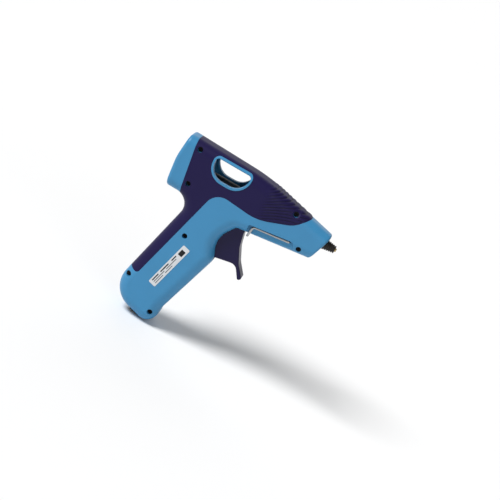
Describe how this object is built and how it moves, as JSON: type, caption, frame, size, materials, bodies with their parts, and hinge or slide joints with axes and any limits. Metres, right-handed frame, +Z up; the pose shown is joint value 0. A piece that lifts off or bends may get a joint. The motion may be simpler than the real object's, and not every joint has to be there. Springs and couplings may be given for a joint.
{
  "type": "glue gun",
  "caption": "Pistol-grip hot-melt glue gun for thin sticks, with a soft-skinned casing, a sprung feed trigger, a booted nozzle and a fold-out wire stand.",
  "frame": {"origin": "centre of the nozzle's outlet, on the barrel's axis", "axes": "+X along the barrel towards the nozzle and out of it, +Z up away from the handle, +Y the tool's left side"},
  "size_m": [0.1362, 0.0272, 0.146],
  "materials": {
    "shell_blue": "satin moulded",
    "grip_navy": "soft matt over-moulding",
    "bush_black": "moulded",
    "gland_rubber": "matt",
    "brass": "turned",
    "sleeve_silicone": "matt silicone",
    "chamber_aluminium": "cast",
    "ring_silicone": "matt silicone",
    "mechanism_plastic": "moulded",
    "bright_steel": "plated",
    "trigger_navy": "satin moulded",
    "screw_steel": "blackened",
    "terminal_plastic": "moulded",
    "terminal_brass": "nickelled",
    "label_silver": "printed foil",
    "heater_ceramic": "fired",
    "contact_brass": "rolled",
    "film_amber": "thin film",
    "fuse_metal": "drawn",
    "lead_brown": "insulation",
    "lead_blue": "insulation"
  },
  "bodies": {
    "casing": {"right_shell": "shell_blue", "left_shell": "shell_blue", "rear_cap": "shell_blue", "right_soft_grip": "grip_navy", "left_soft_grip": "grip_navy", "inlet_bush": "bush_black", "stick_guide": "bush_black", "cord_gland": "gland_rubber", "nozzle": "brass", "nozzle_sleeve": "sleeve_silicone", "melt_chamber": "chamber_aluminium", "inlet_sleeve": "sleeve_silicone", "chamber_rings": "ring_silicone", "trigger_pivot_pin": "bright_steel", "trigger_spring": "bright_steel", "case_screws": "screw_steel", "cord_clamp": "mechanism_plastic", "cord_clamp_screws": "screw_steel", "terminal_block": "terminal_plastic", "terminal_screws": "terminal_brass", "rating_label": "label_silver", "ptc_heater": "heater_ceramic", "contact_plates": "contact_brass", "heater_film": "film_amber", "heater_strap": "bright_steel", "thermal_fuse": "fuse_metal", "live_lead": "lead_brown", "neutral_lead": "lead_blue"},
    "trigger": {"trigger": "trigger_navy"},
    "carriage": {"feed_carriage": "mechanism_plastic", "jaw_pin": "bright_steel"},
    "jaw": {"clamp_jaw": "bright_steel"},
    "stand": {"wire_stand": "bright_steel"}
  },
  "joints": [
    {"name": "trigger_pull", "type": "hinge", "parent": "casing", "child": "trigger", "pos_m": [-0.07272, 0, -0.0145], "axis": [0, 1, 0], "range_deg": [0, 25], "stiffness_Nm_per_rad": 0.12, "springref_deg": -28.65, "deforming": ["trigger_spring"]},
    {"name": "carriage_feed", "type": "slide", "parent": "casing", "child": "carriage", "axis": [1, 0, 0], "range_m": [0, 0.00645]},
    {"name": "jaw_bite", "type": "hinge", "parent": "carriage", "child": "jaw", "pos_m": [-0.07393, 0, -0.0066], "axis": [0, 1, 0], "range_deg": [0, 8.1]},
    {"name": "stand_fold", "type": "hinge", "parent": "casing", "child": "stand", "pos_m": [-0.033, 0, -0.0099], "axis": [0, -1, 0], "range_deg": [0, 105]}
  ],
  "couplings": [
    {"joint": "carriage_feed", "follows": "trigger_pull", "m_per_rad": 0.014734},
    {"joint": "jaw_bite", "follows": "trigger_pull", "ratio": 0.32}
  ]
}
